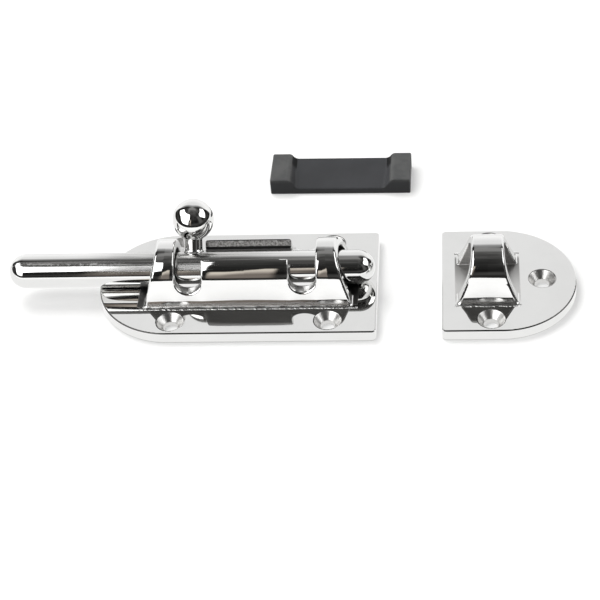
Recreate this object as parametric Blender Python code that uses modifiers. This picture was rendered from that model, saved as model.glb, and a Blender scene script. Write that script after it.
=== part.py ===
"""Barrel bolt for a door, gate or hatch.

A cast plate carries an arched housing.  A round bolt slides in the housing and
turns in it, so that its ball knob can leave the long slot and drop sideways
into a notch at either end of the travel, to the front or to the back.  The
keeper on the frame takes the end of the bolt.  A moulded insert goes into the
pocket under the housing.

Frame: +X is the way the bolt is thrown, +Z is up off the mounting face, and
the origin is on the mounting face, under the bolt's axis, at the centre of the
plate's round end.
"""
import math

import bmesh
import bpy
from mathutils import Matrix, Vector

MM = 0.001

# ---- driving dimensions, in millimetres -------------------------------------
GAP = 0.3                   # running and seating clearance between pieces

PLATE_T = 4.5               # thickness of both cast plates
PLATE_W = 54.2              # width of both plates (their round ends are half circles)
PLATE_END_X = 74.8          # square end of the base plate
CORNER_R = 1.6              # corners of the square ends
EDGE_R = 0.8                # rounded upper edge of the plates

ROD_R = 6.35                # half of a 12.7 mm (1/2 inch) bolt
ROD_X0 = -60.0              # tail of the bolt, drawn back
ROD_X1 = 74.2               # nose of the bolt, flush with the plate's end
AXIS_Z = PLATE_T + GAP + ROD_R

ARCH_RO = 11.2              # outside radius of the arches
ARCH_RI = 7.9               # bore radius of the arches
LEG_SPLAY = 15.5            # lean of the arches' legs, outwards, in degrees
FOOT_R = 1.0                # fillet where the legs meet the plate
TOP_Z = AXIS_Z + ARCH_RO

HOUSE_X0 = -4.3             # ends of the housing, at its top
HOUSE_X1 = 60.3
HOUSE_DRAFT0 = 0.28         # how much each end leans out per millimetre down
HOUSE_DRAFT1 = 0.32

NOTCH_W = 9.7               # width of the locking notches
NOTCH_X = (7.25, 48.45)     # their centres along the housing
NOTCH_Z = 9.6               # their lowest point
SLOT_FRONT_Y = -5.8         # front wall of the long slot
KNOB_TILT = 40.0            # lean of the knob at rest, to the back, in degrees
SLOT_SIDE = 3.55            # back wall of the slot, from the leaning stem's axis

KNOB_X = 8.3                # knob along the bolt, at rest
STEM_R = 3.2
BALL_R = 7.65
BALL_H = 18.0               # ball centre above the bolt's axis
STEM_FOOT = 4.6             # where the stem starts, before it is coped to the bolt

SCREW_X = (0.9, 57.5)       # countersunk holes of the base
SCREW_Y = 20.7
SINK_R = 4.87               # rim of a countersink
HOLE_R = 2.6                # clear hole below it
SINK_DEPTH = 2.6

KEEPER_X = 98.05            # square end of the keeper
KEEPER_LEN = 48.2
LOOP_X = 114.4              # middle of the keeper's arch
LOOP_TOP = 5.6              # half width of the arch at its top
LOOP_FLARE = 5.2            # how much wider each side is at the foot
LOOP_POWER = 1.6
KEEPER_SIDE_X = 115.35      # the pair of holes beside the arch
KEEPER_SIDE_Y = 20.9
KEEPER_END_X = 134.0        # the single hole behind it

INSERT_L = 54.6
INSERT_W = 17.2
INSERT_T = 4.5              # strip at its back edge; it slopes down to the front
INSERT_T_FRONT = 2.6
INSERT_H = 6.8
PAD_TOP = 7.3               # length of a raised end at its top
PAD_LEAN = 0.71             # its inner face leans this much for each mm of height
INSERT_POS = (58.8, 64.7)   # where the loose insert lies
INSERT_TURN = -0.8          # degrees
POCKET_X = 29.2             # middle of the pocket under the housing
POCKET_H = 7.2

ARC_STEPS = 24              # segments in half a circle


# ---- helpers ----------------------------------------------------------------
for old in list(bpy.data.objects):
    bpy.data.objects.remove(old, do_unlink=True)

model = bpy.data.collections.new("barrel_bolt")
tools = bpy.data.collections.new("cutters")
bpy.context.scene.collection.children.link(model)
bpy.context.scene.collection.children.link(tools)


def material(name, colour, roughness, metallic):
    mat = bpy.data.materials.new(name)
    mat.use_nodes = True
    shader = mat.node_tree.nodes["Principled BSDF"]
    shader.inputs["Base Color"].default_value = (*colour, 1.0)
    shader.inputs["Roughness"].default_value = roughness
    shader.inputs["Metallic"].default_value = metallic
    return mat


def arc(cx, cy, radius, start, end, steps):
    """Points on an arc, both ends included; angles in degrees."""
    for i in range(steps + 1):
        a = math.radians(start + (end - start) * i / steps)
        yield (cx + radius * math.cos(a), cy + radius * math.sin(a))


def outline(name, points, thickness, collection):
    """A flat outline (mm) in its own XY plane, thickened evenly about it, as a mesh."""
    curve = bpy.data.curves.new(name, "CURVE")
    curve.dimensions = "2D"
    curve.fill_mode = "BOTH"
    curve.extrude = thickness * MM / 2
    spline = curve.splines.new("POLY")
    spline.points.add(len(points) - 1)
    for point, (x, y) in zip(spline.points, points):
        point.co = (x * MM, y * MM, 0, 1)
    spline.use_cyclic_u = True
    guide = bpy.data.objects.new(name + "_curve", curve)
    collection.objects.link(guide)
    bpy.context.view_layer.update()
    evaluated = guide.evaluated_get(bpy.context.evaluated_depsgraph_get())
    mesh = bpy.data.meshes.new_from_object(evaluated)
    bm = bmesh.new()
    bm.from_mesh(mesh)
    bmesh.ops.remove_doubles(bm, verts=bm.verts, dist=0.000005)
    bmesh.ops.recalc_face_normals(bm, faces=bm.faces)
    bm.to_mesh(mesh)
    bm.free()
    mesh.name = name
    obj = bpy.data.objects.new(name, mesh)
    collection.objects.link(obj)
    obj.matrix_world = guide.matrix_world
    bpy.data.objects.remove(guide, do_unlink=True)
    return obj


def place(obj, matrix):
    """Put the matrix into the mesh, so that the object stays at its origin."""
    obj.data.transform(matrix)
    obj.data.update()


# an outline drawn as (along X, up Z) becomes a slab across Y; one drawn as
# (along Y, up Z) becomes a bar along X
ACROSS_Y = Matrix.Rotation(math.radians(90), 4, "X")
ALONG_X = Matrix(((0, 0, 1, 0), (1, 0, 0, 0), (0, 1, 0, 0), (0, 0, 0, 1)))


def turned(name, profile, collection, steps=48):
    """A turned shape about its own Z, from a (radius, height) profile in mm, top to bottom."""
    mesh = bpy.data.meshes.new(name)
    verts = [(r * MM, 0, z * MM) for r, z in profile]
    mesh.from_pydata(verts, [(i, i + 1) for i in range(len(verts) - 1)], [])
    obj = bpy.data.objects.new(name, mesh)
    collection.objects.link(obj)
    screw = obj.modifiers.new("Screw", "SCREW")
    screw.axis = "Z"
    screw.angle = math.radians(360)
    screw.steps = steps
    screw.render_steps = steps
    screw.use_merge_vertices = True
    screw.merge_threshold = 0.00001
    screw.use_smooth_shade = True
    return obj


def cutter(obj):
    obj.hide_render = True
    obj.display_type = "WIRE"
    return obj


def boolean(obj, other, operation):
    mod = obj.modifiers.new(operation.title() + "_" + other.name, "BOOLEAN")
    mod.operation = operation
    mod.solver = "EXACT"
    mod.object = other


def round_upper_edge(obj, top_z, radius):
    """Roll over the outline's edge at the height top_z."""
    bm = bmesh.new()
    bm.from_mesh(obj.data)
    edges = [e for e in bm.edges
             if all(abs(v.co.z - top_z * MM) < 1e-6 for v in e.verts)
             and len(e.link_faces) == 2
             and any(abs(f.normal.z) < 0.5 for f in e.link_faces)]
    bmesh.ops.bevel(bm, geom=edges, offset=radius * MM, offset_type="OFFSET",
                    segments=3, profile=0.5, affect="EDGES", clamp_overlap=True)
    bm.to_mesh(obj.data)
    bm.free()


def shade(obj):
    obj.data.shade_smooth()
    obj.data.set_sharp_from_angle(angle=math.radians(35))


def finish(obj, mat):
    obj.data.materials.clear()
    obj.data.materials.append(mat)
    shade(obj)


polished = material("polished_stainless", (0.82, 0.82, 0.81), 0.07, 1.0)
turned_steel = material("turned_stainless", (0.80, 0.80, 0.79), 0.12, 1.0)
moulding = material("dark_moulding", (0.055, 0.058, 0.060), 0.55, 0.0)


# ---- shapes shared by the base and the keeper --------------------------------
def plate_points(x_square, x_round_centre):
    """Outline of a plate with one square end and one round end."""
    half = PLATE_W / 2
    side = 1 if x_round_centre < x_square else -1
    xs = x_square - side * CORNER_R
    points = []
    if side > 0:
        points += list(arc(xs, -half + CORNER_R, CORNER_R, -90, 0, 3))
        points += list(arc(xs, half - CORNER_R, CORNER_R, 0, 90, 3))
        points += list(arc(x_round_centre, 0, half, 90, 270, 2 * ARC_STEPS))
    else:
        points += list(arc(x_round_centre, 0, half, -90, 90, 2 * ARC_STEPS))
        points += list(arc(xs, half - CORNER_R, CORNER_R, 90, 180, 3))
        points += list(arc(xs, -half + CORNER_R, CORNER_R, 180, 270, 3))
    return points


def arch_points():
    """Section of the arches (Y, Z): round on top, with straight legs that lean out to the plate."""
    sink = PLATE_T - 1.5                      # the legs start inside the plate
    lean = math.radians(LEG_SPLAY)
    top_of_fillet = PLATE_T + FOOT_R
    foot = (ARCH_RO + FOOT_R - (top_of_fillet - AXIS_Z) * math.sin(lean)) / math.cos(lean)
    points = [(foot, sink)]
    points += list(arc(foot, top_of_fillet, FOOT_R, 270, 180 + LEG_SPLAY, 3))
    points += list(arc(0, AXIS_Z, ARCH_RO, LEG_SPLAY, 180 - LEG_SPLAY, ARC_STEPS))
    points += list(arc(-foot, top_of_fillet, FOOT_R, -LEG_SPLAY, -90, 3))
    points += [(-foot, sink), (-ARCH_RI, sink)]
    points += list(arc(0, AXIS_Z, ARCH_RI, 180, 0, ARC_STEPS))
    points += [(ARCH_RI, sink)]
    return points


def screw_hole(name, x, y):
    """Countersunk screw hole through a plate."""
    up, down = PLATE_T + 1.0, -1.0
    slope = (SINK_R - HOLE_R) / SINK_DEPTH
    obj = turned(name, [(0, up), (SINK_R + slope * 1.0, up),
                        (HOLE_R, PLATE_T - SINK_DEPTH), (HOLE_R, down), (0, down)],
                 tools, steps=32)
    obj.location = (x * MM, y * MM, 0)
    return cutter(obj)


# ---- base casting -----------------------------------------------------------
base = outline("base_housing", plate_points(PLATE_END_X, 0.0), PLATE_T, model)
place(base, Matrix.Translation((0, 0, PLATE_T / 2 * MM)))
round_upper_edge(base, PLATE_T, EDGE_R)

arch_len = 100.0
arch = outline("arch_bar", arch_points(), arch_len, tools)
place(arch, Matrix.Translation(((HOUSE_X0 + HOUSE_X1) / 2 * MM, 0, 0)) @ ALONG_X)
ends_top = TOP_Z + 2.0
ends_low = PLATE_T - 1.0
house_side = [
    (HOUSE_X0 - HOUSE_DRAFT0 * (TOP_Z - ends_low), ends_low),
    (HOUSE_X1 + HOUSE_DRAFT1 * (TOP_Z - ends_low), ends_low),
    (HOUSE_X1 + HOUSE_DRAFT1 * (TOP_Z - ends_top), ends_top),
    (HOUSE_X0 - HOUSE_DRAFT0 * (TOP_Z - ends_top), ends_top),
]
house_ends = cutter(outline("house_ends", house_side, 60.0, tools))
place(house_ends, ACROSS_Y)
boolean(arch, house_ends, "INTERSECT")
boolean(base, cutter(arch), "UNION")

for number, x in enumerate(NOTCH_X):
    r = NOTCH_W / 2
    shape = list(arc(x, NOTCH_Z + r, r, 180, 360, 12)) + [(x + r, TOP_Z + 4), (x - r, TOP_Z + 4)]
    notch = cutter(outline("notch_%d" % (number + 1), shape, 60.0, tools))
    place(notch, ACROSS_Y)
    boolean(base, notch, "DIFFERENCE")

tilt = math.radians(KNOB_TILT)
along = Vector((math.sin(tilt), math.cos(tilt)))      # the stem's direction, in (Y, Z)
aside = Vector((math.cos(tilt), -math.sin(tilt)))     # towards the slot's back wall
centre = Vector((0.0, AXIS_Z))
low = centre + 3.0 * along + SLOT_SIDE * aside
high = centre + 18.0 * along + SLOT_SIDE * aside
slot_section = [tuple(low), tuple(high), (high.x, high.y + 3), (SLOT_FRONT_Y, high.y + 3),
                (SLOT_FRONT_Y, AXIS_Z + 2.0)]
slot = cutter(outline("long_slot", slot_section, NOTCH_X[1] - NOTCH_X[0], tools))
place(slot, Matrix.Translation(((NOTCH_X[0] + NOTCH_X[1]) / 2 * MM, 0, 0)) @ ALONG_X)
boolean(base, slot, "DIFFERENCE")

for number, (x, y) in enumerate([(x, y) for x in SCREW_X for y in (-SCREW_Y, SCREW_Y)]):
    boolean(base, screw_hole("base_screw_%d" % (number + 1), x, y), "DIFFERENCE")

bpy.ops.mesh.primitive_cube_add(size=1.0)
pocket = bpy.context.object
pocket.name = pocket.data.name = "insert_pocket"
for owner in list(pocket.users_collection):
    owner.objects.unlink(pocket)
tools.objects.link(pocket)
pocket_size = (INSERT_L + 2 * GAP, INSERT_W + 2 * GAP, POCKET_H + 1.0)
place(pocket, Matrix.Translation((POCKET_X * MM, 0, (POCKET_H - 1.0) / 2 * MM))
      @ Matrix.Diagonal((pocket_size[0] * MM, pocket_size[1] * MM, pocket_size[2] * MM, 1)))
boolean(base, cutter(pocket), "DIFFERENCE")
finish(base, polished)

# ---- sliding bolt -----------------------------------------------------------
# turned about its own Z, which lies along X; its origin is on the bolt's axis, under the knob
z_nose = ROD_X1 - KNOB_X
z_tail = ROD_X0 - KNOB_X
steps = 8
profile = [(r, z_nose - ROD_R + z) for r, z in arc(0, 0, ROD_R, 90, 0, steps)]
profile += [(r, z_tail + ROD_R + z) for r, z in arc(0, 0, ROD_R, 0, -90, steps)]
profile[0] = (0.0, z_nose)
profile[-1] = (0.0, z_tail)
rod = turned("slide_bolt", profile, model, steps=48)
rod.rotation_euler = (0, math.radians(90), 0)
rod.location = (KNOB_X * MM, 0, AXIS_Z * MM)

finish(rod, turned_steel)

# ---- knob: ball and stem in one turned piece, coped to the round bolt ---------
neck = math.degrees(math.asin(STEM_R / BALL_R))
profile = list(arc(0, BALL_H, BALL_R, 90, -90 + neck, 14))
profile[0] = (0.0, BALL_H + BALL_R)
profile += [(STEM_R, STEM_FOOT), (0.0, STEM_FOOT)]
knob = turned("bolt_knob", profile, model, steps=36)
knob.location = (KNOB_X * MM, 0, AXIS_Z * MM)
knob.rotation_euler = (-tilt, 0, 0)
bpy.ops.mesh.primitive_cylinder_add(vertices=96, radius=(ROD_R + GAP) * MM, depth=30 * MM)
cope = bpy.context.object
cope.name = cope.data.name = "stem_cope"
for owner in list(cope.users_collection):
    owner.objects.unlink(cope)
tools.objects.link(cope)
cope.rotation_euler = (0, math.radians(90), 0)
cope.location = (KNOB_X * MM, 0, AXIS_Z * MM)
boolean(knob, cutter(cope), "DIFFERENCE")
finish(knob, polished)

# ---- keeper casting ---------------------------------------------------------
round_centre = KEEPER_X + KEEPER_LEN - PLATE_W / 2
keeper = outline("keeper", plate_points(KEEPER_X, round_centre), PLATE_T, model)
place(keeper, Matrix.Translation((0, 0, PLATE_T / 2 * MM)))
round_upper_edge(keeper, PLATE_T, EDGE_R)

loop = outline("loop_bar", arch_points(), 60.0, tools)
place(loop, Matrix.Translation((LOOP_X * MM, 0, 0)) @ ALONG_X)


def loop_half(z):
    """Half width of the keeper's arch at the height z: narrow on top, flaring to its feet."""
    down = max(0.0, (TOP_Z - z) / (TOP_Z - PLATE_T))
    return LOOP_TOP + LOOP_FLARE * down ** LOOP_POWER


heights = [TOP_Z + 1.0] + [TOP_Z + (ends_low - TOP_Z) * i / 10 for i in range(11)]
flare = [(LOOP_X - loop_half(z), z) for z in heights]
flare += [(LOOP_X + loop_half(z), z) for z in reversed(heights)]
loop_sides = cutter(outline("loop_sides", flare, 60.0, tools))
place(loop_sides, ACROSS_Y)
boolean(loop, loop_sides, "INTERSECT")
boolean(keeper, cutter(loop), "UNION")
keeper_holes = [(KEEPER_SIDE_X, -KEEPER_SIDE_Y), (KEEPER_SIDE_X, KEEPER_SIDE_Y), (KEEPER_END_X, 0.0)]
for number, (x, y) in enumerate(keeper_holes):
    boolean(keeper, screw_hole("keeper_screw_%d" % (number + 1), x, y), "DIFFERENCE")
finish(keeper, polished)

# ---- moulded insert ---------------------------------------------------------
h = INSERT_L / 2


def pad_foot(z):
    """Where a raised end's inner face meets the strip at the height z."""
    return h - PAD_TOP - (INSERT_H - z) * PAD_LEAN


side = [(-h, 0), (h, 0), (h, INSERT_H), (h - PAD_TOP, INSERT_H), (pad_foot(INSERT_T), INSERT_T),
        (-pad_foot(INSERT_T), INSERT_T), (-h + PAD_TOP, INSERT_H), (-h, INSERT_H)]
insert = outline("slide_insert", side, INSERT_W, model)
place(insert, ACROSS_Y)
lowered = 0
for vertex in insert.data.vertices:
    spot = insert.matrix_world @ vertex.co
    if spot.y < 0 and abs(spot.z - INSERT_T * MM) < 0.01 * MM:
        spot.x = math.copysign(pad_foot(INSERT_T_FRONT) * MM, spot.x)
        spot.z = INSERT_T_FRONT * MM
        vertex.co = insert.matrix_world.inverted() @ spot
        lowered += 1
assert lowered == 2
insert.location = (INSERT_POS[0] * MM, INSERT_POS[1] * MM, 0)
insert.rotation_euler = (0, 0, math.radians(INSERT_TURN))
rim = insert.modifiers.new("Bevel", "BEVEL")
rim.width = 0.5 * MM
rim.segments = 2
rim.limit_method = "ANGLE"
rim.angle_limit = math.radians(60)
finish(insert, moulding)
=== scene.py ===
import math

import bpy
import numpy as np
from mathutils import Matrix, Vector


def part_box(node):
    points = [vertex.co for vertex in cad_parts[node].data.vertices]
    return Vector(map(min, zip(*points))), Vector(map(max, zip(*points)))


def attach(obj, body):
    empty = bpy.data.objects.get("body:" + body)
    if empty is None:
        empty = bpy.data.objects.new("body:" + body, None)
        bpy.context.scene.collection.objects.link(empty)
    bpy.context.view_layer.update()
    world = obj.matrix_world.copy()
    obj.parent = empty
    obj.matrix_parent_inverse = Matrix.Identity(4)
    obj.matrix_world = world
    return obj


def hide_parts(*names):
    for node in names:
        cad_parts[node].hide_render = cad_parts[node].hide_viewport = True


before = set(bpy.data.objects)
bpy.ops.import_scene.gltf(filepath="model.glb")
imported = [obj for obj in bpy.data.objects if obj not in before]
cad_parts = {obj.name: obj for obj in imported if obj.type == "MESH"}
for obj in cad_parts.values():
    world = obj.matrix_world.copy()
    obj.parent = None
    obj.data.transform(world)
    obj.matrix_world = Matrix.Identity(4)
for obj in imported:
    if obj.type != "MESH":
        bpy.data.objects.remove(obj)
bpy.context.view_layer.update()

scene = bpy.context.scene
MM = 0.001

# ------------------------------------------------------------------ dimensions
# millimetres, the same numbers as the CAD part; positions are read from its boxes
base_lo, base_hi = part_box("base_housing")
keep_lo, keep_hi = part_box("keeper")
rod_lo, rod_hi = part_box("slide_bolt")
ins_lo, ins_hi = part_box("slide_insert")

PLATE_T = 4.5
PLATE_W = (base_hi.y - base_lo.y) / MM
PLATE_END_X = base_hi.x / MM
CORNER_R = 1.6
EDGE_R = 0.36               # polished upper edge
UNDER_R = 0.30              # broken lower edge
ROD_R = (rod_hi.z - rod_lo.z) / 2 / MM
AXIS_Z = (rod_hi.z + rod_lo.z) / 2 / MM
ROD_X0, ROD_X1 = rod_lo.x / MM, rod_hi.x / MM
ARCH_RO, ARCH_RI, FOOT_R = 11.2, 7.9, 1.0
SPLAY = math.radians(15.5)
TOP_Z = AXIS_Z + ARCH_RO
HOUSE_X0, HOUSE_X1 = -4.3, 60.3
DRAFT0, DRAFT1 = 0.28, 0.32
NOTCH_W, NOTCH_X, NOTCH_Z = 9.7, (7.25, 48.45), 9.6
SLOT_FRONT_Y, SLOT_SIDE = -5.8, 3.55
TILT = math.radians(40.0)
KNOB_X, STEM_R, BALL_R, BALL_H = 8.3, 3.2, 7.62, 18.0
SCREWS = [(0.9, -20.7), (0.9, 20.7), (57.5, -20.7), (57.5, 20.7)]
SINK_R, HOLE_R, SINK_DEPTH = 4.87, 2.6, 2.6
KEEPER_X = keep_lo.x / MM
KEEPER_ROUND_X = keep_hi.x / MM - PLATE_W / 2
LOOP_X, LOOP_TOP, LOOP_FLARE, LOOP_POWER = 114.4, 5.6, 5.2, 1.6
KEEPER_SCREWS = [(115.35, -20.9), (115.35, 20.9), (134.0, 0.0)]
POCKET = (29.2, 27.6, 8.9, 7.2)     # middle along X, half length, half width, height


# ------------------------------------------------------- distance-field modelling
def rmax(a, b, r):
    """Intersection with its edge rounded to the radius r."""
    return np.minimum(-r, np.maximum(a, b)) + np.hypot(np.maximum(a + r, 0), np.maximum(b + r, 0))


def rmin(a, b, r):
    """Union with a fillet of the radius r."""
    return np.maximum(r, np.minimum(a, b)) - np.hypot(np.maximum(r - a, 0), np.maximum(r - b, 0))


def plate(x, y, z, square_x, round_x):
    """A plate with one square and one round end; its upper edge is polished over."""
    half = PLATE_W / 2
    side = 1.0 if square_x > round_x else -1.0
    u = (x - round_x) * side
    length = (square_x - round_x) * side
    qx, qy = u - (length - CORNER_R), np.abs(y) - (half - CORNER_R)
    box = np.hypot(np.maximum(qx, 0), np.maximum(qy, 0)) + np.minimum(np.maximum(qx, qy), 0) - CORNER_R
    flat = np.where(u < 0, np.hypot(u, y) - half, box)
    above = rmax(flat, z - PLATE_T, EDGE_R)
    below = rmax(flat, -z, UNDER_R)
    return np.where(z > PLATE_T / 2, above, below)


def arch_outer(y, z):
    """Round on top, with straight legs that lean out."""
    leg = np.abs(y) * math.cos(SPLAY) + (z - AXIS_Z) * math.sin(SPLAY)
    low = (z - AXIS_Z) * math.cos(SPLAY) < np.abs(y) * math.sin(SPLAY)
    return np.where(low, leg, np.hypot(y, z - AXIS_Z)) - ARCH_RO


def arch_bore(y, z):
    return np.where(z >= AXIS_Z, np.hypot(y, z - AXIS_Z), np.abs(y)) - ARCH_RI


def rolled(gap):
    """How far hand polishing takes a face down, the distance gap away from its edge."""
    gap = np.maximum(gap, 0)
    return 0.09 * np.exp(-gap / 0.5) + 0.20 * np.exp(-gap / 4.0)


def raised(x, y, z, ends, end_r, lip_r, gap):
    """The arched body on its plate, without the plate."""
    outer = arch_outer(y, z) + rolled(gap) * np.clip((z - 7.0) / 5.0, 0, 1)
    bore = arch_bore(y, z)
    spread = rmin(outer, z - PLATE_T, FOOT_R)
    spread = np.maximum(rmax(spread, ends, end_r), np.abs(y) - 17.0)
    spread = rmax(spread, -bore, lip_r)
    plain = rmax(rmax(outer, ends, end_r), -bore, lip_r)
    return spread, np.maximum(plain, -z)


def sink(x, y, z, cx, cy):
    """Countersunk hole."""
    rho = np.hypot(x - cx, y - cy)
    slope = (SINK_R - HOLE_R) / SINK_DEPTH
    cone = (rho - HOLE_R - (z - (PLATE_T - SINK_DEPTH)) * slope) / math.hypot(1, slope)
    return np.minimum(rho - HOLE_R, np.maximum(cone, rho - SINK_R - 0.05))


ALONG = (math.sin(TILT), math.cos(TILT))
ASIDE = (math.cos(TILT), -math.sin(TILT))


def house_ends(x, z):
    left = ((HOUSE_X0 - DRAFT0 * (TOP_Z - z)) - x) / math.hypot(1, DRAFT0)
    right = (x - (HOUSE_X1 + DRAFT1 * (TOP_Z - z))) / math.hypot(1, DRAFT1)
    return np.maximum(left, right)


def notch(x, z, cx):
    r = NOTCH_W / 2
    return np.where(z < NOTCH_Z + r, np.hypot(x - cx, z - NOTCH_Z - r), np.abs(x - cx)) - r


def long_slot(x, y, z):
    back = ASIDE[0] * y + ASIDE[1] * (z - AXIS_Z) - SLOT_SIDE
    front = SLOT_FRONT_Y - y
    mid = (NOTCH_X[0] + NOTCH_X[1]) / 2
    ends = np.abs(x - mid) - (NOTCH_X[1] - NOTCH_X[0]) / 2
    return np.maximum(np.maximum(back, front), np.maximum(ends, AXIS_Z + 2.0 - z))


def base_field(x, y, z):
    ends = house_ends(x, z)
    gap = -ends
    for cx in NOTCH_X:
        gap = np.minimum(gap, np.abs(np.abs(x - cx) - NOTCH_W / 2))
    spread, plain = raised(x, y, z, ends, 0.9, 0.55, gap)
    d = rmin(plate(x, y, z, PLATE_END_X, 0.0), plain, 0.6)
    d = np.minimum(d, spread)
    for cx in NOTCH_X:
        d = rmax(d, -notch(x, z, cx), 0.6)
    d = rmax(d, -long_slot(x, y, z), 0.22)
    for cx, cy in SCREWS:
        d = rmax(d, -sink(x, y, z, cx, cy), 0.2)
    px, hx, hy, top = POCKET
    pocket = np.maximum(np.maximum(np.abs(x - px) - hx, np.abs(y) - hy), z - top)
    return rmax(d, -pocket, 0.25)


def loop_sides(x, z):
    down = np.clip((TOP_Z - z) / (TOP_Z - PLATE_T), 0, None)
    down = np.minimum(down, 1.0)
    half = LOOP_TOP + LOOP_FLARE * down ** LOOP_POWER
    slope = LOOP_FLARE * LOOP_POWER * down ** (LOOP_POWER - 1) / (TOP_Z - PLATE_T)
    return (np.abs(x - LOOP_X) - half) / np.hypot(1, slope)


def keeper_field(x, y, z):
    ends = loop_sides(x, z)
    spread, plain = raised(x, y, z, ends, 0.9, 0.55, -ends)
    d = rmin(plate(x, y, z, KEEPER_X, KEEPER_ROUND_X), plain, 0.6)
    d = np.minimum(d, spread)
    for cx, cy in KEEPER_SCREWS:
        d = rmax(d, -sink(x, y, z, cx, cy), 0.2)
    return d


def gradient(field, p, eps=0.01):
    g = np.empty_like(p)
    for axis in range(3):
        step = np.zeros(3)
        step[axis] = eps
        a, b = p + step, p - step
        g[:, axis] = (field(*a.T) - field(*b.T)) / (2 * eps)
    return g


def unit(v):
    return v / np.maximum(np.linalg.norm(v, axis=1, keepdims=True), 1e-9)


def surface(field, lo, hi, h):
    """Vertices and quads of the field's zero surface, from a grid of cells of the size h."""
    lo, hi = np.array(lo) - 1.7 * h, np.array(hi) + 2.3 * h
    axes = [np.arange(lo[i], hi[i] + h, h) for i in range(3)]
    n = [len(a) for a in axes]
    values = np.empty(n, np.float32)
    for i0 in range(0, n[0], 24):
        x, y, z = np.meshgrid(axes[0][i0:i0 + 24], axes[1], axes[2], indexing="ij")
        values[i0:i0 + 24] = field(x, y, z)
    inside = values < 0
    count = np.zeros([k - 1 for k in n], np.int8)
    corners = [(a, b, c) for a in (0, 1) for b in (0, 1) for c in (0, 1)]
    for a, b, c in corners:
        count += inside[a:n[0] - 1 + a, b:n[1] - 1 + b, c:n[2] - 1 + c]
    cells = np.argwhere((count > 0) & (count < 8))
    index = np.full(count.shape, -1, np.int32)
    index[tuple(cells.T)] = np.arange(len(cells))
    total = np.zeros((len(cells), 3))
    hits = np.zeros(len(cells))
    for p in range(8):
        for q in range(p + 1, 8):
            a, b = np.array(corners[p]), np.array(corners[q])
            if np.abs(a - b).sum() != 1:
                continue
            va = values[tuple((cells + a).T)].astype(float)
            vb = values[tuple((cells + b).T)].astype(float)
            cross = (va < 0) != (vb < 0)
            t = np.where(cross, va / np.where(cross, va - vb, 1.0), 0.0)
            point = a + (b - a) * t[:, None]
            total += point * cross[:, None]
            hits += cross
    verts = lo + (cells + total / hits[:, None]) * h
    quads = []
    for axis in range(3):
        u, v = (axis + 1) % 3, (axis + 2) % 3
        first = [slice(None)] * 3
        second = [slice(None)] * 3
        first[axis], second[axis] = slice(0, -1), slice(1, None)
        a, b = inside[tuple(first)], inside[tuple(second)]
        at = np.argwhere(a != b)
        at = at[(at[:, u] > 0) & (at[:, v] > 0)]
        du, dv = np.zeros(3, int), np.zeros(3, int)
        du[u], dv[v] = 1, 1
        ring = [at - du - dv, at - dv, at, at - du]
        quad = np.stack([index[tuple(r.T)] for r in ring], 1)
        flip = ~a[tuple(at.T)]
        quad[flip] = quad[flip][:, ::-1]
        quads.append(quad)
    quads = np.concatenate(quads)
    for _ in range(5):
        d = field(*verts.T)
        g = gradient(field, verts)
        step = g * (d / np.maximum((g * g).sum(1), 0.05))[:, None]
        size = np.linalg.norm(step, axis=1, keepdims=True)
        verts = verts - step * np.minimum(1, 0.5 * h / np.maximum(size, 1e-9))
    return verts, quads


def mesh_object(name, verts, quads):
    mesh = bpy.data.meshes.new(name)
    mesh.vertices.add(len(verts))
    mesh.vertices.foreach_set("co", (verts * MM).astype(np.float32).ravel())
    mesh.loops.add(len(quads) * 4)
    mesh.loops.foreach_set("vertex_index", quads.astype(np.int32).ravel())
    mesh.polygons.add(len(quads))
    mesh.polygons.foreach_set("loop_start", np.arange(0, len(quads) * 4, 4, dtype=np.int32))
    mesh.update(calc_edges=True)
    mesh.validate()
    obj = bpy.data.objects.new(name, mesh)
    scene.collection.objects.link(obj)
    return obj


def thin_out(obj, angle):
    """Merge the quads of flat and straight stretches, which leaves the curved ones fine."""
    mod = obj.modifiers.new("Flats", "DECIMATE")
    mod.decimate_type = "DISSOLVE"
    mod.angle_limit = math.radians(angle)
    dg = bpy.context.evaluated_depsgraph_get()
    mesh = bpy.data.meshes.new_from_object(obj.evaluated_get(dg))
    obj.modifiers.clear()
    old = obj.data
    obj.data = mesh
    bpy.data.meshes.remove(old)
    mesh.name = obj.name


def exact_normals(obj, field):
    """Shade with the field's own normals, read a little inside each face so that creases stay crisp."""
    mesh = obj.data
    co = np.empty(len(mesh.vertices) * 3)
    mesh.vertices.foreach_get("co", co)
    co = co.reshape(-1, 3) / MM
    vert = np.empty(len(mesh.loops), np.int32)
    mesh.loops.foreach_get("vertex_index", vert)
    totals = np.empty(len(mesh.polygons), np.int32)
    mesh.polygons.foreach_get("loop_total", totals)
    face = np.repeat(np.arange(len(totals)), totals)
    centre = np.zeros((len(totals), 3))
    np.add.at(centre, face, co[vert])
    centre /= totals[:, None]
    towards = centre[face] - co[vert]
    reach = np.linalg.norm(towards, axis=1, keepdims=True)
    at = co[vert] + towards * np.minimum(0.06 / np.maximum(reach, 1e-6), 0.25)
    normal = unit(gradient(field, at))
    mesh.shade_smooth()
    mesh.normals_split_custom_set(normal.astype(np.float32))


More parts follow.
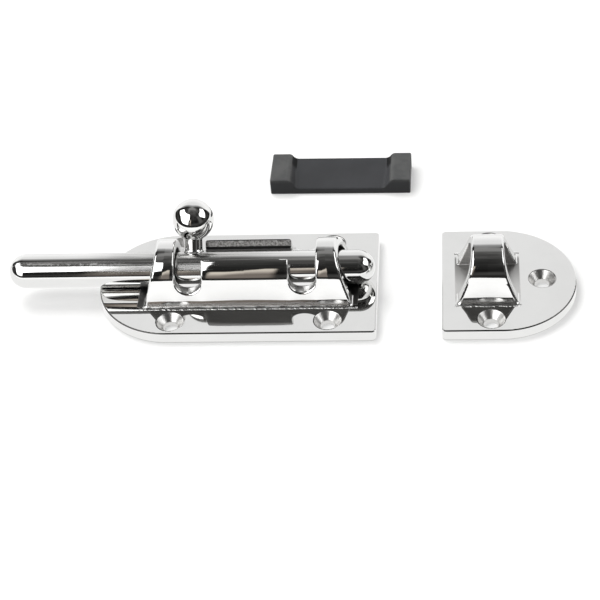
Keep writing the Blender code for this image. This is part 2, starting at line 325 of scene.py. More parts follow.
# ------------------------------------------------------------------ materials
class Nodes:
    """A few short words for wiring shader nodes."""

    def __init__(self, tree):
        self.tree = tree
        tree.nodes.clear()

    def new(self, kind, **settings):
        node = self.tree.nodes.new(kind)
        for key, value in settings.items():
            setattr(node, key, value)
        return node

    def put(self, value, socket):
        if isinstance(value, bpy.types.NodeSocket):
            self.tree.links.new(value, socket)
        elif isinstance(value, (tuple, list)) and len(value) == 3 and socket.type == "RGBA":
            socket.default_value = (*value, 1)
        else:
            socket.default_value = value

    def math(self, op, a, b=0.0, c=0.0, clamp=False):
        node = self.new("ShaderNodeMath", operation=op, use_clamp=clamp)
        for value, socket in zip((a, b, c), node.inputs):
            self.put(value, socket)
        return node.outputs[0]

    def ramp(self, value, lo, hi, out_lo=0.0, out_hi=1.0):
        node = self.new("ShaderNodeMapRange", interpolation_type="SMOOTHSTEP")
        for v, socket in zip((value, lo, hi, out_lo, out_hi), node.inputs):
            self.put(v, socket)
        return node.outputs[0]

    def mix(self, factor, a, b):
        node = self.new("ShaderNodeMix", data_type="RGBA")
        self.put(factor, node.inputs[0])
        self.put(a, node.inputs[6])
        self.put(b, node.inputs[7])
        return node.outputs[2]

    def noise(self, vector, scale, detail=2.0, rough=0.5):
        node = self.new("ShaderNodeTexNoise")
        self.put(vector, node.inputs["Vector"])
        self.put(scale, node.inputs["Scale"])
        self.put(detail, node.inputs["Detail"])
        self.put(rough, node.inputs["Roughness"])
        return node.outputs[0]

    def scaled(self, vector, scale):
        node = self.new("ShaderNodeVectorMath", operation="MULTIPLY")
        self.put(vector, node.inputs[0])
        node.inputs[1].default_value = scale
        return node.outputs[0]

    def bump(self, height, distance, strength=1.0, normal=None):
        node = self.new("ShaderNodeBump")
        self.put(height, node.inputs["Height"])
        self.put(distance, node.inputs["Distance"])
        self.put(strength, node.inputs["Strength"])
        if normal is not None:
            self.put(normal, node.inputs["Normal"])
        return node.outputs[0]


def new_material(name):
    mat = bpy.data.materials.new(name)
    mat.use_nodes = True
    return mat, Nodes(mat.node_tree)


def steel(name, colour, gloss, waves, cast=None, bar=False):
    """Mirror-polished stainless steel: faint hand-polishing waves, hairlines and smears,
    with as-cast walls where the polishing wheel doesn't reach, and painted shade and painted dark reflections on the
    castings."""
    mat, n = new_material(name)
    coords = n.new("ShaderNodeTexCoord").outputs["Object"]
    shader = n.new("ShaderNodeBsdfPrincipled")
    out = n.new("ShaderNodeOutputMaterial")
    n.tree.links.new(shader.outputs[0], out.inputs[0])
    shader.inputs["Metallic"].default_value = 1.0

    smear = n.noise(coords, 60.0, 3.0, 0.6)
    hair = n.noise(n.scaled(coords, (120.0, 2600.0, 2600.0)), 1.0, 2.0, 0.6)
    rough = n.math("ADD", n.ramp(smear, 0.35, 0.75, gloss, gloss * 1.9),
                   n.ramp(hair, 0.62, 0.8, 0.0, 0.03))
    tone = n.mix(n.ramp(smear, 0.3, 0.7), colour, tuple(c * 0.965 for c in colour))
    wave = n.noise(coords, 95.0, 1.5, 0.4)
    normal = n.bump(wave, waves * MM)
    if bar:
        # turned and linished: rings round the bar, and one satin stretch that rubs in the housing
        sep = n.new("ShaderNodeSeparateXYZ")
        n.put(coords, sep.inputs[0])
        x = sep.outputs[0]
        ridge = n.math("ARCTAN2", n.math("MULTIPLY", sep.outputs[1], -1.0), n.math("SUBTRACT", sep.outputs[2], AXIS_Z * MM))
        # ridge: 0 on top of the bar, growing to the front
        lines = n.noise(n.scaled(coords, (22.0, 1900.0, 1900.0)), 1.0, 3.0, 0.7)
        flecks = n.noise(n.scaled(coords, (520.0, 900.0, 900.0)), 1.0, 3.0, 0.65)
        worn = n.math("MULTIPLY", n.ramp(x, -0.034, -0.012), n.ramp(x, 0.016, 0.058, 1.0, 0.0))
        patchy = n.ramp(n.noise(n.scaled(coords, (45.0, 160.0, 160.0)), 1.0, 2.0), 0.3, 0.6, 0.6, 1.0)
        worn = n.math("MULTIPLY", worn, patchy)
        worn = n.math("MULTIPLY", worn, n.ramp(ridge, 1.07, 1.20, 1.0, 0.0))
        scuffed = n.math("MULTIPLY", n.ramp(n.math("ABSOLUTE", n.math("SUBTRACT", ridge, 0.44)), 0.03, 0.20, 1.0, 0.0),
                         n.ramp(n.math("ADD", n.math("MULTIPLY", lines, 0.5), n.math("MULTIPLY", flecks, 0.5)), 0.44, 0.58))
        scuffed = n.math("MULTIPLY", scuffed, n.ramp(x, -0.030, -0.010, 1.0, 0.12))
        rough = n.math("ADD", rough, n.math("MULTIPLY", worn, n.ramp(lines, 0.38, 0.62, 0.09, 0.26)))
        rough = n.math("ADD", rough, n.math("MULTIPLY", scuffed, 0.34))
        brushed = n.mix(n.ramp(lines, 0.40, 0.60), (0.25, 0.248, 0.243), (0.56, 0.555, 0.545))
        tone = n.mix(n.math("MULTIPLY", worn, 0.85), tone, brushed)
        normal = n.bump(lines, 0.0016 * MM, 1.0, normal)
        normal = n.bump(n.math("MULTIPLY", scuffed, flecks), 0.012 * MM, 1.0, normal)
    if cast is not None:
        def around(u, v):
            return n.math("SQRT", n.math("ADD", n.math("MULTIPLY", u, u), n.math("MULTIPLY", v, v)))

        sep = n.new("ShaderNodeSeparateXYZ")
        n.put(n.scaled(coords, (1000.0, 1000.0, 1000.0)), sep.inputs[0])
        x, y, z = sep.outputs
        side = n.math("ABSOLUTE", y)
        high = n.math("SUBTRACT", z, AXIS_Z)
        ring = n.math("SQRT", n.math("ADD", n.math("MULTIPLY", y, y), n.math("MULTIPLY", high, high)))
        above = n.math("GREATER_THAN", high, 0.0)
        reach = n.math("ADD", n.math("MULTIPLY", ring, above), n.math("MULTIPLY", side, n.math("SUBTRACT", 1.0, above)))
        bore = n.math("MULTIPLY", n.ramp(reach, ARCH_RI + 0.05, ARCH_RI + 0.30, 1.0, 0.0),
                      n.math("GREATER_THAN", z, PLATE_T + 0.15))
        under = n.ramp(z, 0.03, 0.15, 1.0, 0.0)
        raw_and_shade = n.math("MAXIMUM", bore, under)
        if cast == "base":
            back = n.math("ADD", n.math("MULTIPLY", y, ASIDE[0]), n.math("MULTIPLY_ADD", high, ASIDE[1], -SLOT_SIDE))
            wall = n.math("MULTIPLY", n.ramp(n.math("ABSOLUTE", back), 0.05, 0.22, 1.0, 0.0),
                          n.math("GREATER_THAN", ring, ARCH_RI + 0.02))
            wall = n.math("MULTIPLY", wall, n.math("COMPARE", x, (NOTCH_X[0] + NOTCH_X[1]) / 2, 16.2))
            wall = n.math("MULTIPLY", wall, n.math("GREATER_THAN", y, 2.0))
            wall = n.math("MULTIPLY", wall, n.math("LESS_THAN", ring, ARCH_RO - 0.12))
            raw_and_shade = n.math("MAXIMUM", raw_and_shade, wall)
            px, hx, hy, top = POCKET
            pit = n.math("MULTIPLY", n.math("COMPARE", x, px, hx + 0.05), n.math("LESS_THAN", side, hy + 0.05))
            pit = n.math("MULTIPLY", pit, n.math("LESS_THAN", z, top + 0.05))
            raw_and_shade = n.math("MAXIMUM", raw_and_shade, pit)
            foot = n.math("COMPARE", x, 28.5, 39.5)
            # on the base, painted shade: its as-cast bore, underside and pocket are coloured near-black for the shade
            # inside the housing; the keeper's keep their own light grey
            dark, light = (0.07, 0.069, 0.066), (0.12, 0.118, 0.114)
            notches = n.math("SUBTRACT", n.math("ABSOLUTE", n.math("SUBTRACT", x, 27.85)), 20.6)
            cheek = around(notches, n.math("MINIMUM", n.math("SUBTRACT", z, NOTCH_Z + NOTCH_W / 2), 0.0))
            cheek = n.math("MULTIPLY", n.math("COMPARE", cheek, NOTCH_W / 2, 0.16), n.math("GREATER_THAN", ring, ARCH_RI + 0.3))
            cheek = n.math("MULTIPLY", cheek, n.math("LESS_THAN", reach, ARCH_RO - 0.25))
            hole = around(n.math("SUBTRACT", n.math("ABSOLUTE", n.math("SUBTRACT", x, 29.2)), 28.3),
                          n.math("SUBTRACT", side, 20.7))
            # satin plate top between the legs, painted near-black as the shade and dark reflection under the housing
            satin_and_shade = n.math("MULTIPLY", n.ramp(n.math("ABSOLUTE", n.math("SUBTRACT", x, 28.0)), 39.9, 40.15, 1.0, 0.0),
                           n.ramp(side, 12.6, 13.4, 1.0, 0.0))
            under_arch_shade_tone = (0.045, 0.044, 0.042)
        else:
            wall = 0.0
            foot = n.math("COMPARE", x, LOOP_X, LOOP_TOP + LOOP_FLARE + 1.0)
            dark, light = (0.62, 0.615, 0.605), (0.78, 0.77, 0.76)
            cheek = 0.0
            hole = n.math("MINIMUM", around(n.math("SUBTRACT", x, 115.35), n.math("SUBTRACT", side, 20.9)),
                          around(n.math("SUBTRACT", x, 134.0), y))
            # satin plate top under the loop, with painted shade that darkens towards the back
            satin_and_shade = n.math("MULTIPLY", n.ramp(n.math("ABSOLUTE", n.math("SUBTRACT", x, LOOP_X)), 11.4, 11.9, 1.0, 0.0),
                           n.ramp(side, 11.0, 13.0, 1.0, 0.0))
            under_arch_shade_tone = n.mix(n.ramp(y, -6.0, 9.0), (0.72, 0.715, 0.705), (0.26, 0.257, 0.25))
        satin_and_shade = n.math("MULTIPLY", satin_and_shade, n.math("COMPARE", z, PLATE_T, 0.12))
        # the plate's upper edge is left a little rougher, and along the front it is painted near-black as the dark
        # reflection its rounding shows
        upper_edge_painted_dark = n.math("MULTIPLY", n.math("COMPARE", z, PLATE_T - 0.19, 0.18), n.math("GREATER_THAN", hole, SINK_R + 0.6))
        upper_edge_painted_dark = n.math("MULTIPLY", upper_edge_painted_dark, n.ramp(y, 2.0, -6.0))
        square = PLATE_END_X if cast == "base" else KEEPER_X
        upper_edge_painted_dark = n.math("MULTIPLY", upper_edge_painted_dark, n.math("SUBTRACT", 1.0, n.math("MULTIPLY", n.math("COMPARE", x, square, 0.6), 0.7)))
        # countersinks keep their turning marks
        sunk = n.math("MULTIPLY", n.math("LESS_THAN", hole, SINK_R - 0.05), n.math("LESS_THAN", z, PLATE_T - 0.12))
        # where the wheel stops at the legs' feet, the polish ends in a ragged lip
        line = n.noise(n.scaled(coords, (520.0, 60.0, 60.0)), 1.0, 3.0, 0.7)
        off = n.math("ABSOLUTE", n.math("SUBTRACT", side, n.math("MULTIPLY_ADD", line, 0.9, 13.95)))
        near_foot = n.math("MULTIPLY", foot, n.math("COMPARE", z, PLATE_T + 0.3, 0.6))
        lip = n.math("MULTIPLY", near_foot, n.ramp(off, 0.05, 0.42, 1.0, 0.0))
        # a ragged darker line along the legs' feet
        foot_dark_line = n.math("MULTIPLY", near_foot, n.math("COMPARE", side, 13.75, 0.22))
        foot_dark_line = n.math("MULTIPLY", foot_dark_line, n.ramp(n.noise(n.scaled(coords, (260.0, 60.0, 60.0)), 1.0, 2.0), 0.35, 0.6))
        grain = n.noise(coords, 1500.0, 3.0, 0.65)
        coarse = n.noise(coords, 420.0, 2.0, 0.5)
        rough = n.math("ADD", rough, n.math("MULTIPLY", raw_and_shade, n.ramp(grain, 0.3, 0.7, 0.28, 0.46)))
        rough = n.math("ADD", rough, n.math("MULTIPLY", lip, 0.06))
        fillet = n.math("MULTIPLY", foot, n.math("MULTIPLY", n.ramp(z, PLATE_T + 1.2, PLATE_T + 2.2, 1.0, 0.0),
                                                 n.math("COMPARE", side, 13.2, 1.4)))
        fillet = n.math("MULTIPLY", fillet, n.math("GREATER_THAN", z, PLATE_T + 0.05))
        rough = n.math("ADD", rough, n.math("MULTIPLY", fillet, 0.20))
        rough = n.math("ADD", rough, n.math("MULTIPLY", satin_and_shade, 0.36))
        rough = n.math("ADD", rough, n.math("MULTIPLY", sunk, 0.27))
        rough = n.math("ADD", rough, n.math("MULTIPLY", cheek, 0.25))
        rough = n.math("ADD", rough, n.math("MULTIPLY", upper_edge_painted_dark, 0.10))
        speck = n.ramp(grain, 0.35, 0.7)
        grey = n.mix(speck, dark, light)
        grey = n.mix(wall, grey, n.mix(speck, (0.15, 0.147, 0.142), (0.50, 0.493, 0.483)))
        if cast == "base":
            # painted shade along the slot wall's lower edge by the bore, and a painted dark reflection along its upper
            # edge
            wall_edges_painted_dark = n.math("MAXIMUM", n.ramp(ring, ARCH_RI + 0.75, ARCH_RI + 0.95, 1.0, 0.0),
                           n.ramp(ring, ARCH_RO - 0.60, ARCH_RO - 0.45))
            grey = n.mix(n.math("MULTIPLY", wall_edges_painted_dark, wall), grey, (0.02, 0.02, 0.02))
        # the lower edge gathers shade where it meets the board it lies on
        low = n.math("MULTIPLY", n.ramp(z, 0.20, 0.55, 1.0, 0.0), n.ramp(y, 4.0, -6.0, 0.3, 0.8))
        tone = n.mix(low, tone, (0.36, 0.357, 0.35))
        tone = n.mix(raw_and_shade, tone, grey)
        tone = n.mix(n.math("MULTIPLY", sunk, 0.8), tone, (0.60, 0.595, 0.585))
        tone = n.mix(n.math("MULTIPLY", satin_and_shade, 0.9), tone, under_arch_shade_tone)
        # painted shade in a ring round each countersink's rim
        sink_rim_shade = n.math("MULTIPLY", n.math("COMPARE", hole, SINK_R + 0.06, 0.13), n.math("COMPARE", z, PLATE_T, 0.3))
        tone = n.mix(n.math("MULTIPLY", sink_rim_shade, 0.75), tone, (0.14, 0.138, 0.134))
        tone = n.mix(n.math("MULTIPLY", upper_edge_painted_dark, 0.92), tone, (0.05, 0.049, 0.047))
        tone = n.mix(n.math("MULTIPLY", foot_dark_line, 0.8), tone, (0.12, 0.118, 0.112))
        height = n.math("MULTIPLY", raw_and_shade, n.math("ADD", grain, coarse))
        normal = n.bump(height, 0.05 * MM, 1.0, normal)
        normal = n.bump(lip, 0.34 * MM, 1.0, normal)
        turning = n.math("SINE", n.math("MULTIPLY", hole, 22.0))
        normal = n.bump(n.math("MULTIPLY", sunk, turning), 0.004 * MM, 1.0, normal)
    n.put(tone, shader.inputs["Base Color"])
    n.put(rough, shader.inputs["Roughness"])
    n.put(normal, shader.inputs["Normal"])
    return mat


def moulding(name):
    """Dark grey moulded polymer: fine spark-eroded grain, rubbed edges, a little dust."""
    mat, n = new_material(name)
    coords = n.new("ShaderNodeTexCoord").outputs["Object"]
    shader = n.new("ShaderNodeBsdfPrincipled")
    out = n.new("ShaderNodeOutputMaterial")
    n.tree.links.new(shader.outputs[0], out.inputs[0])
    cloud = n.noise(coords, 70.0, 3.0, 0.55)
    grain = n.noise(coords, 2600.0, 2.0, 0.6)
    edge = n.new("ShaderNodeNewGeometry").outputs["Pointiness"]
    sep = n.new("ShaderNodeSeparateXYZ")
    n.put(coords, sep.inputs[0])
    x, y, z = sep.outputs
    tone = n.mix(n.ramp(cloud, 0.3, 0.7), (0.024, 0.025, 0.027), (0.034, 0.035, 0.038))
    # the raised ends are rubbed paler on top; the front flank, the strip's back edge and the pads' inner back corners
    # are painted darker as shade, with less shine
    rubbed = n.math("MULTIPLY", n.ramp(z, 0.0050, 0.0064), n.ramp(n.noise(coords, 240.0, 3.0, 0.6), 0.3, 0.65, 0.55, 1.0))
    tone = n.mix(rubbed, tone, (0.066, 0.067, 0.066))
    # painted shade: the strip's back edge, the pads' inner back corners and the front flank
    strip_edge = n.math("MULTIPLY", n.ramp(y, 0.0076, 0.0083), n.ramp(z, 0.0050, 0.0056, 1.0, 0.0))
    flank = n.ramp(n.math("ADD", y, n.math("MULTIPLY", z, 0.01)), -0.0083, -0.0086)
    nook = n.math("MULTIPLY", n.math("COMPARE", n.math("ABSOLUTE", x), 0.0190, 0.0013), n.ramp(y, 0.0005, 0.0045))
    nook = n.math("MULTIPLY", nook, n.ramp(z, 0.0058, 0.0064, 1.0, 0.0))
    shade = n.math("MAXIMUM", n.math("MAXIMUM", strip_edge, nook), n.math("MULTIPLY", flank, 0.6))
    tone = n.mix(shade, tone, (0.010, 0.0102, 0.0105))
    tone = n.mix(n.ramp(edge, 0.52, 0.60, 0.0, 0.5), tone, (0.07, 0.072, 0.074))
    tone = n.mix(n.ramp(grain, 0.66, 0.78, 0.0, 0.25), tone, (0.10, 0.10, 0.10))
    n.put(tone, shader.inputs["Base Color"])
    n.put(n.ramp(cloud, 0.3, 0.7, 0.48, 0.60), shader.inputs["Roughness"])
    n.put(n.ramp(shade, 0.0, 1.0, 0.38, 0.08), shader.inputs["Specular IOR Level"])
    height = n.math("ADD", grain, n.math("MULTIPLY", cloud, 0.6))
    n.put(n.bump(height, 0.02 * MM), shader.inputs["Normal"])
    return mat


casting = steel("polished_casting", (0.80, 0.80, 0.792), 0.030, 0.012, cast="base")
loop_casting = steel("polished_casting_keeper", (0.80, 0.80, 0.792), 0.030, 0.012, cast="keeper")
bar = steel("polished_bar", (0.80, 0.80, 0.792), 0.035, 0.006, bar=True)
turned = steel("polished_knob", (0.81, 0.81, 0.80), 0.025, 0.004)
polymer = moulding("moulded_insert")

# ------------------------------------------------------------------ castings
CELL = 0.30


def make_casting(name, field, lo, hi, body, mat):
    verts, quads = surface(field, lo / MM, hi / MM, CELL)
    verts = np.clip(verts, lo / MM, hi / MM)
    obj = mesh_object(name, verts, quads)
    thin_out(obj, 0.04)
    exact_normals(obj, field)
    obj.data.materials.append(mat)
    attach(obj, body)
    return obj


base = make_casting("cast_base", base_field, np.array(base_lo), np.array(base_hi), "base", casting)
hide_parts("base_housing")
keeper = make_casting("cast_keeper", keeper_field, np.array(keep_lo), np.array(keep_hi), "keeper", loop_casting)
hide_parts("keeper")


# ------------------------------------------------------------------ turned pieces
def lathe(name, rings):
    """A surface from rings of points; a ring of one point closes an end."""
    verts, faces, starts = [], [], []
    for ring in rings:
        starts.append(len(verts))
        verts.extend(ring)
    for (a, ra), (b, rb) in zip(zip(starts, rings), zip(starts[1:], rings[1:])):
        na, nb = len(ra), len(rb)
        count = max(na, nb)
        for i in range(count):
            j = (i + 1) % count
            if na == 1:
                faces.append((a, b + i, b + j))
            elif nb == 1:
                faces.append((a + j, a + i, b))
            else:
                faces.append((a + j, a + i, b + i, b + j))
    mesh = bpy.data.meshes.new(name)
    mesh.from_pydata([tuple(c * MM for c in v) for v in verts], [], faces)
    mesh.update()
    mesh.shade_smooth()
    obj = bpy.data.objects.new(name, mesh)
    scene.collection.objects.link(obj)
    return obj


def circle(radius, count, to_point, height):
    return [to_point(radius * math.cos(2 * math.pi * i / count),
                     radius * math.sin(2 * math.pi * i / count), height) for i in range(count)]


# the round bar: domed ends, drawn from tail to nose along X
BAR_N = 160
profile = [(ROD_X0, 0.0)]
DOME = 22
for i in range(1, DOME + 1):
    a = math.pi / 2 * i / DOME
    profile.append((ROD_X0 + ROD_R * (1 - math.cos(a)), ROD_R * math.sin(a)))
span = (ROD_X0 + ROD_R, ROD_X1 - ROD_R)
for i in range(1, 24):
    profile.append((span[0] + (span[1] - span[0]) * i / 24, ROD_R))
for i in range(DOME, -1, -1):
    a = math.pi / 2 * i / DOME
    profile.append((ROD_X1 - ROD_R * (1 - math.cos(a)), ROD_R * math.sin(a) if i else 0.0))


def on_bar(u, v, x):
    return (x, u, AXIS_Z + v)


rings = [[on_bar(0, 0, x)] if r == 0 else circle(r, BAR_N, on_bar, x) for x, r in profile]
rod = lathe("round_bolt", rings)
rod.data.materials.append(bar)
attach(rod, "bolt")
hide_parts("slide_bolt")

# the knob: ball, waisted neck, stem with a small foot coped to the bar
KNOB_N = 120


def on_knob(u, v, h):
    """u along the bar, v across it, h out along the stem."""
    return (KNOB_X + u, h * ALONG[0] + v * ASIDE[0], AXIS_Z + h * ALONG[1] + v * ASIDE[1])


NECK_R = 0.9
# centre of the fillet between ball and stem: outside the stem, touching the ball
neck_r = STEM_R + NECK_R
neck_h = BALL_H - math.sqrt((BALL_R + NECK_R) ** 2 - neck_r ** 2)
touch = math.atan2(neck_r, BALL_H - neck_h)          # from straight down, on the ball
outline = []
for i in range(1, 57):
    a = (math.pi - touch) * i / 56
    outline.append((BALL_R * math.sin(a), BALL_H + BALL_R * math.cos(a)))
for i in range(1, 9):
    a = math.pi / 2 - touch
    b = a + (0 - a) * i / 8
    outline.append((neck_r - NECK_R * math.cos(b), neck_h + NECK_R * math.sin(b)))
for t in (0.2, 0.4, 0.6, 0.8):
    outline.append((STEM_R, neck_h + (8.0 - neck_h) * t))
rings = [[on_knob(0, 0, BALL_H + BALL_R)]]
rings += [circle(r, KNOB_N, on_knob, h) for r, h in outline]


def coped(radius, lift):
    """A ring that lies on the round bar, lifted off it."""
    ring = []
    for i in range(KNOB_N):
        a = 2 * math.pi * i / KNOB_N
        u, v = radius * math.cos(a), radius * math.sin(a)
        ring.append(on_knob(u, v, math.sqrt((ROD_R + lift) ** 2 - v * v)))
    return ring


for lift, extra in ((1.30, 0.0), (0.85, 0.02), (0.6, 0.10), (0.42, 0.24), (0.33, 0.40), (0.22, 0.45), (0.06, 0.45)):
    rings.append(coped(STEM_R + extra, lift))
for r in (3.3, 2.6, 1.6, 0.7):
    rings.append(coped(r, 0.04))
rings.append([on_knob(0, 0, ROD_R + 0.04)])
knob = lathe("ball_knob", rings)
knob.data.set_sharp_from_angle(angle=math.radians(50))
knob.data.materials.append(turned)
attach(knob, "knob")
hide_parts("bolt_knob")

# ------------------------------------------------------------------ the moulding
IL, IW, IH, PAD_TOP, PAD_LEAN = 54.57, 17.17, 6.8, 7.3, 0.71
IT_FRONT, IT_BACK = 2.6, 4.5


def insert_field(x, y, z):
    """Local millimetres: a strip that slopes to the front, with a raised pad at each end."""
    u = IL / 2 - np.abs(x)
    end = -u
    rise = (IT_BACK - IT_FRONT) / IW
    strip = (z - IT_FRONT - rise * (y + IW / 2)) / math.hypot(1, rise)
    flank = (u - (PAD_TOP + (IH - z) * PAD_LEAN)) / math.hypot(1, PAD_LEAN)
    pad = rmax(flank, z - IH, 0.8)
    body = rmin(strip, pad, 0.9)
    d = rmax(body, end, 0.6)
    d = rmax(d, np.abs(y) - IW / 2, 0.55)
    return rmax(d, -z, 0.3)


verts, quads = surface(insert_field, (-IL / 2, -IW / 2, 0), (IL / 2, IW / 2, IH), 0.40)
verts = np.clip(verts, (-IL / 2, -IW / 2, 0), (IL / 2, IW / 2, IH))
insert = mesh_object("moulded_slide_insert", verts, quads)
thin_out(insert, 0.25)
exact_normals(insert, insert_field)
place = Matrix.Translation(((ins_lo.x + ins_hi.x) / 2, (ins_lo.y + ins_hi.y) / 2, ins_lo.z)) @ Matrix.Rotation(math.radians(-0.8), 4, "Z")
insert.matrix_world = place
insert.data.materials.append(polymer)
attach(insert, "insert")
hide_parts("slide_insert")

# ------------------------------------------------------------------ studio
right = Vector((0.99571, 0.06000, -0.07038))
back = Vector((0.09176, -0.73620, 0.67059)).normalized()
right = (right - right.dot(back) * back).normalized()
up = back.cross(right)
cam_data = bpy.data.cameras.new("camera")
cam_data.lens = 102.0
cam_data.sensor_width = 36.0
cam_data.clip_start = 0.01
cam_data.clip_end = 20.0
camera = bpy.data.objects.new("camera", cam_data)
scene.collection.objects.link(camera)
place = Matrix((right, up, back)).transposed().to_4x4()
place.translation = Vector((0.10328, -0.46065, 0.41492))
camera.matrix_world = place
scene.camera = camera


def sheet_of_paper(name, xs, front, y1, z, mat):
    """A flat sheet whose front edge follows the given line; geometry of its own."""
    ny = 12
    pts, faces = [], []
    for j in range(ny + 1):
        pts += [(x, y0 + (y1 - y0) * j / ny, z) for x, y0 in zip(xs, front)]
    nx = len(xs) - 1
    for j in range(ny):
        for i in range(nx):
            faces.append((j * (nx + 1) + i, j * (nx + 1) + i + 1, (j + 1) * (nx + 1) + i + 1, (j + 1) * (nx + 1) + i))
    mesh = bpy.data.meshes.new(name)
    mesh.from_pydata(pts, [], faces)
    mesh.materials.append(mat)
    obj = bpy.data.objects.new(name, mesh)
    scene.collection.objects.link(obj)
    return obj


paper, n = new_material("studio_paper")
shader = n.new("ShaderNodeBsdfPrincipled")
out = n.new("ShaderNodeOutputMaterial")
n.tree.links.new(shader.outputs[0], out.inputs[0])
fibre = n.noise(n.new("ShaderNodeTexCoord").outputs["Object"], 900.0, 2.0)
n.put(n.mix(fibre, (0.555, 0.555, 0.55), (0.575, 0.575, 0.57)), shader.inputs["Base Color"])
shader.inputs["Roughness"].default_value = 0.9
shader.inputs["Specular IOR Level"].default_value = 0.1
shader.inputs["Emission Color"].default_value = (1, 1, 1, 1)
shader.inputs["Emission Strength"].default_value = 0.326
floor = sheet_of_paper("floor", [-3.0, -1.0, 1.0, 3.0], [-3.0] * 4, 3.0, -0.00002, paper)
floor.visible_glossy = False
lit_paper = paper.copy()
lit_paper.name = "studio_paper_near"
m = Nodes.__new__(Nodes)
m.tree = lit_paper.node_tree
away = m.new("ShaderNodeSeparateXYZ")
m.put(m.new("ShaderNodeTexCoord").outputs["Object"], away.inputs[0])
for node in lit_paper.node_tree.nodes:
    if node.type == "BSDF_PRINCIPLED":
        m.put(m.ramp(away.outputs[1], -0.035, -0.085, 0.75, 0.97), node.inputs["Emission Strength"])
near = sheet_of_paper("floor_near", [-0.30, -0.15, -0.03, 0.05, 0.10, 0.125, 0.17, 0.30],
                      [-0.12, -0.20, -0.28, -0.26, -0.17, -0.125, -0.10, 0.05], 3.0, -0.00002, lit_paper)
near.visible_camera = False
near.visible_diffuse = False
near.visible_shadow = False

# the room the metal mirrors: white sweep behind, two soft boxes, a dim room between them
world = bpy.data.worlds.new("studio")
scene.world = world
world.use_nodes = True
n = Nodes(world.node_tree)
direction = n.new("ShaderNodeTexCoord").outputs["Generated"]
sep = n.new("ShaderNodeSeparateXYZ")
n.put(direction, sep.inputs[0])
dx, dy, dz = sep.outputs
az = n.math("MULTIPLY", n.math("ARCTAN2", dx, n.math("MULTIPLY", dy, -1.0)), 57.29578)
el = n.math("MULTIPLY", n.math("ARCSINE", dz), 57.29578)


def window(a0, a1, e0, e1, soft_a, soft_e):
    m = n.math("MULTIPLY", n.ramp(az, a0 - soft_a, a0 + soft_a), n.ramp(az, a1 - soft_a, a1 + soft_a, 1.0, 0.0))
    m = n.math("MULTIPLY", m, n.ramp(el, e0 - soft_e, e0 + soft_e))
    return n.math("MULTIPLY", m, n.ramp(el, e1 - soft_e, e1 + soft_e, 1.0, 0.0))


def soft(value, edge, width=1.3):
    """1 above the edge, 0 below it."""
    return n.ramp(n.math("SUBTRACT", value, edge), -width, width)


def all_of(*masks):
    m = masks[0]
    for other in masks[1:]:
        m = n.math("MULTIPLY", m, other)
    return m


def beyond(value, start, slope):
    """slope times how far the value is past its start, never negative."""
    return n.math("MULTIPLY", n.math("MAXIMUM", n.math("SUBTRACT", value, start), 0.0), slope)


neg_az = n.math("MULTIPLY", az, -1.0)
neg_el = n.math("MULTIPLY", el, -1.0)
haze = n.noise(direction, 3.0, 3.0, 0.55)
streak = n.noise(n.scaled(direction, (2.0, 9.0, 9.0)), 1.0, 2.0, 0.5)

# the dim room, by height: table edge, wall, ceiling
dim = n.new("ShaderNodeValToRGB")
n.put(n.math("MULTIPLY_ADD", el, 0.01, 0.10), dim.inputs[0])
stops = [(-10, 0.024), (3, 0.024), (7, 0.042), (13, 0.040), (18, 0.013), (33, 0.016), (43, 0.034),
         (52, 0.046), (60, 0.055), (68, 0.085), (84, 0.100)]
for i, (e, v) in enumerate(stops):
    stop = dim.color_ramp.elements[i] if i < 2 else dim.color_ramp.elements.new((e + 10) / 100)
    stop.position = (e + 10) / 100
    stop.color = (v, v * 0.985, v * 0.96, 1)
scale = n.new("ShaderNodeVectorMath", operation="SCALE")
n.put(dim.outputs[0], scale.inputs[0])
n.put(n.ramp(haze, 0.3, 0.7, 0.55, 1.5), scale.inputs["Scale"])
room = scale.outputs[0]
room = n.mix(window(42.0, 62.0, 8.0, 46.0, 6.0, 6.0), room, (0.12, 0.118, 0.116))
room = n.mix(window(-155.0, -50.0, 72.0, 81.0, 12.0, 3.0), room, (0.16, 0.158, 0.155))

# the ceiling is paler towards the sweep
ceiling = n.math("MULTIPLY", n.ramp(dz, 0.925, 0.965), n.ramp(dy, -0.04, 0.14))
room = n.mix(ceiling, room, (0.27, 0.267, 0.263))

# a warm glint straight ahead, brightest along its upper edge
crest = n.ramp(az, -9.4, -7.2, 28.5, 38.0)
under = n.math("SUBTRACT", crest, el)
warm = all_of(window(-12.3, -4.9, 5.0, 60.0, 0.9, 2.2), soft(crest, el, 2.2), n.ramp(streak, 0.15, 0.5, 0.75, 1.0))
glow = n.mix(n.ramp(under, 2.0, 20.0, 1.0, 0.0), (0.25, 0.215, 0.19), (0.78, 0.71, 0.62))
room = n.mix(warm, room, glow)

# left soft box: its corners seen at an angle
edge = n.math("ADD", n.math("ADD", 15.2, n.math("MINIMUM", beyond(neg_el, -35.0, 1.3), 5.5)),
              n.math("ADD", beyond(el, 36.0, 0.19), beyond(el, 56.0, 0.35)))
low = n.math("ADD", 9.0, n.math("MINIMUM", beyond(neg_az, 52.0, 0.65), 18.0))
high = n.math("SUBTRACT", 64.0, beyond(neg_az, 40.0, 0.19))
left_box = all_of(soft(neg_az, edge, 1.0), soft(113.0, neg_az), soft(el, low), soft(high, el))
room = n.mix(left_box, room, (2.6, 2.6, 2.6))

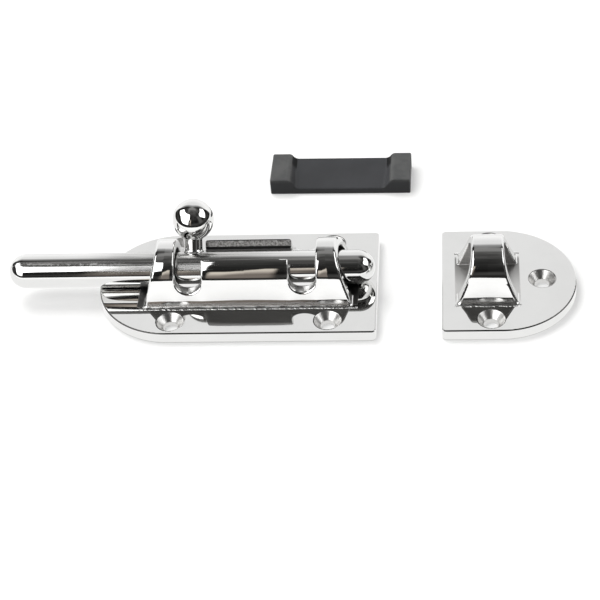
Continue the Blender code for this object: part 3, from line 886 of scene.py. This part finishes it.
# right soft box: a diamond from here
a65 = n.math("SUBTRACT", az, 65.0)
down_right = n.math("MULTIPLY_ADD", a65, -1.16, 36.0)
up_right = n.math("MULTIPLY_ADD", n.math("SUBTRACT", az, 84.0), 0.53, 14.0)
top = n.math("MINIMUM", n.math("MULTIPLY_ADD", a65, 0.9, 44.0), 51.0)
right_box = all_of(soft(az, 64.0), soft(el, down_right), soft(el, up_right), soft(top, el), soft(123.0, az))
room = n.mix(right_box, room, (2.2, 2.2, 2.2))

# white sweep behind, which fades out upwards
behind = n.math("SUBTRACT", 180.0, n.math("ABSOLUTE", az))
rise = n.math("MULTIPLY", n.math("SUBTRACT", 1.0, n.math("POWER", n.math("DIVIDE", behind, 72.0), 1.9)), 60.0)
above = n.math("SUBTRACT", el, rise)
body = n.math("MULTIPLY_ADD", n.ramp(above, -10.0, 4.0, 1.0, 0.0), 0.72, n.math("MULTIPLY", n.ramp(above, 5.0, 17.0, 1.0, 0.0), 0.28))
body = n.math("MULTIPLY", body, soft(52.5, behind, 1.6))
tone = n.ramp(el, 5.0, 45.0, 1.15, 0.93)
white = n.new("ShaderNodeCombineColor")
for socket in white.inputs:
    n.put(tone, socket)
room = n.mix(body, room, white.outputs[0])
lit = n.new("ShaderNodeBackground")
n.put(room, lit.inputs[0])
plain = n.new("ShaderNodeBackground")
plain.inputs[0].default_value = (1.0, 1.0, 1.0, 1)
pick = n.new("ShaderNodeMixShader")
n.put(n.new("ShaderNodeLightPath").outputs["Is Camera Ray"], pick.inputs[0])
n.tree.links.new(lit.outputs[0], pick.inputs[1])
n.tree.links.new(plain.outputs[0], pick.inputs[2])
n.tree.links.new(pick.outputs[0], n.new("ShaderNodeOutputWorld").inputs[0])


def soft_light(name, at, target, size, power):
    data = bpy.data.lights.new(name, "AREA")
    data.shape = "DISK"
    data.size = size
    data.energy = power
    obj = bpy.data.objects.new(name, data)
    scene.collection.objects.link(obj)
    obj.location = at
    obj.rotation_euler = (Vector(target) - Vector(at)).to_track_quat("-Z", "Y").to_euler()
    obj.visible_glossy = False
    return obj


soft_light("top_light", (-0.35, 0.45, 1.0), (0.04, 0.0, 0.0), 0.7, 10.0)
soft_light("fill_light", (0.5, -0.5, 0.9), (0.04, 0.0, 0.0), 0.9, 2.0)

scene.view_settings.view_transform = "Standard"
scene.view_settings.look = "None"
scene.view_settings.exposure = 0.0
scene.view_settings.gamma = 1.0

bpy.context.view_layer.update()
